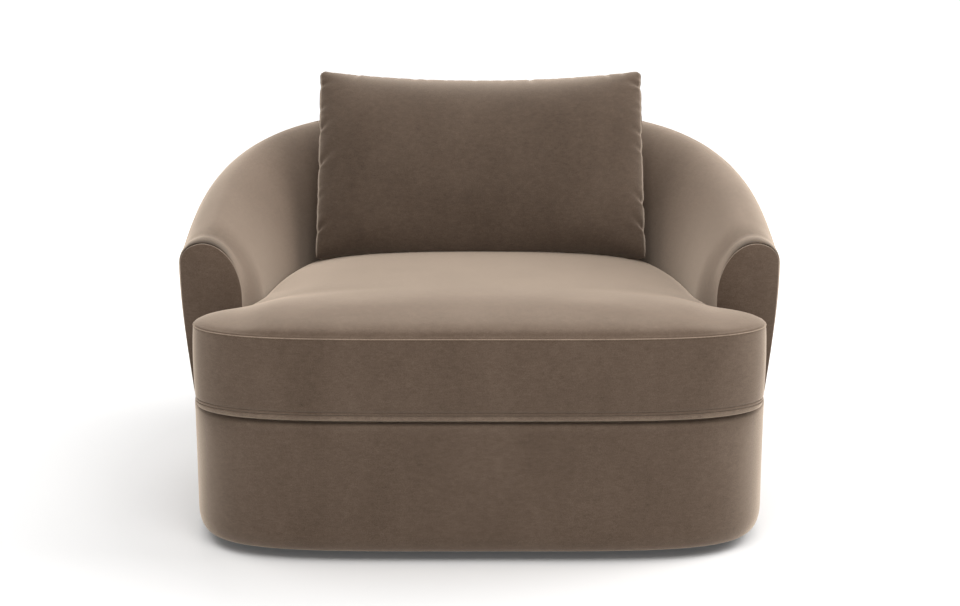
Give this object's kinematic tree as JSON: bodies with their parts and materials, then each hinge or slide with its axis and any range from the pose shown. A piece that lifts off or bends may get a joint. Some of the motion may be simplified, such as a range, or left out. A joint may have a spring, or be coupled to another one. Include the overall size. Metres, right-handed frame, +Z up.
{
  "type": "swivel cuddle chair",
  "caption": "Deep upholstered swivel lounge chair with a barrel back, sloping arms, a loose boxed T-shaped seat cushion and a loose back pillow.",
  "frame": {"origin": "on the floor, on the swivel axis, at the middle of the chair's width and depth", "axes": "+Z up along the swivel axis, -Y the way the sitter faces, +X to the right as seen from the front"},
  "size_m": [1.22, 1.07, 0.8707],
  "materials": {
    "velvet": "taupe-brown velvet with a soft nap",
    "lining": "black woven lining",
    "foam": "open-cell foam",
    "wadding": "fibre wadding in a plain case",
    "plywood": "bare birch plywood",
    "black_wood": "black stained plywood",
    "zinc_steel": "zinc plated",
    "spring_steel": "oil-tempered wire",
    "rubber": "matt"
  },
  "bodies": {
    "swivel_base": {"glide_1": "rubber", "glide_2": "rubber", "glide_3": "rubber", "glide_4": "rubber", "plinth_disc": "black_wood", "turntable_lower_plate": "zinc_steel", "pivot_pin": "zinc_steel", "plinth_screw_1": "zinc_steel", "plinth_screw_2": "zinc_steel", "plinth_screw_3": "zinc_steel", "plinth_screw_4": "zinc_steel"},
    "ball_cage": {"ball_cage": "zinc_steel"},
    "chair": {"turntable_upper_plate": "zinc_steel", "turntable_bolt_1": "zinc_steel", "turntable_bolt_2": "zinc_steel", "turntable_bolt_3": "zinc_steel", "turntable_bolt_4": "zinc_steel", "base_board": "plywood", "dust_cover": "lining", "base_wall": "plywood", "deck_ring": "plywood", "seat_spring_1": "spring_steel", "seat_spring_2": "spring_steel", "seat_spring_3": "spring_steel", "seat_spring_4": "spring_steel", "seat_spring_5": "spring_steel", "spring_clip_strip_front": "zinc_steel", "spring_clip_strip_rear": "zinc_steel", "deck_pad": "foam", "deck_cover": "lining", "base_cover": "velvet", "base_padding": "foam", "arm_front_board_right": "plywood", "arm_front_board_left": "plywood", "arm_top_rail_right": "plywood", "arm_top_rail_left": "plywood", "back_top_rail": "plywood", "arm_post_right": "plywood", "arm_post_left": "plywood", "back_post_right": "plywood", "back_post_left": "plywood", "arm_pad_right": "foam", "arm_pad_left": "foam", "back_pad": "foam", "inside_arm_cover_right": "velvet", "inside_arm_cover_left": "velvet", "inside_back_cover": "velvet", "outside_arm_cover_right": "velvet", "outside_arm_cover_left": "velvet", "outside_back_cover": "velvet", "arm_facing_right": "velvet", "arm_facing_left": "velvet"},
    "seat_cushion": {"seat_cushion_cover": "velvet", "seat_cushion_foam": "foam", "seat_zip": "lining"},
    "seat_zip_slider": {"seat_zip_slider": "zinc_steel"},
    "back_pillow": {"back_pillow_cover": "velvet", "back_pillow_insert": "wadding"}
  },
  "joints": [
    {"name": "swivel", "type": "hinge", "parent": "swivel_base", "child": "chair", "pos_m": [0, 0, 0.027], "axis": [0, 0, 1], "continuous": true},
    {"name": "ball_race", "type": "hinge", "parent": "swivel_base", "child": "ball_cage", "pos_m": [0, 0, 0.027], "axis": [0, 0, 1], "continuous": true},
    {"name": "seat_cushion_lift", "type": "slide", "parent": "chair", "child": "seat_cushion", "axis": [0, 0, 1], "range_m": [0, 0.48]},
    {"name": "seat_zip_run", "type": "slide", "parent": "seat_cushion", "child": "seat_zip_slider", "axis": [1, 0, 0], "range_m": [-0.26, 0]},
    {"name": "back_pillow_lift", "type": "slide", "parent": "seat_cushion", "child": "back_pillow", "axis": [0, 0, 1], "range_m": [0, 0.3]}
  ],
  "couplings": [
    {"joint": "ball_race", "follows": "swivel", "ratio": 0.5}
  ]
}
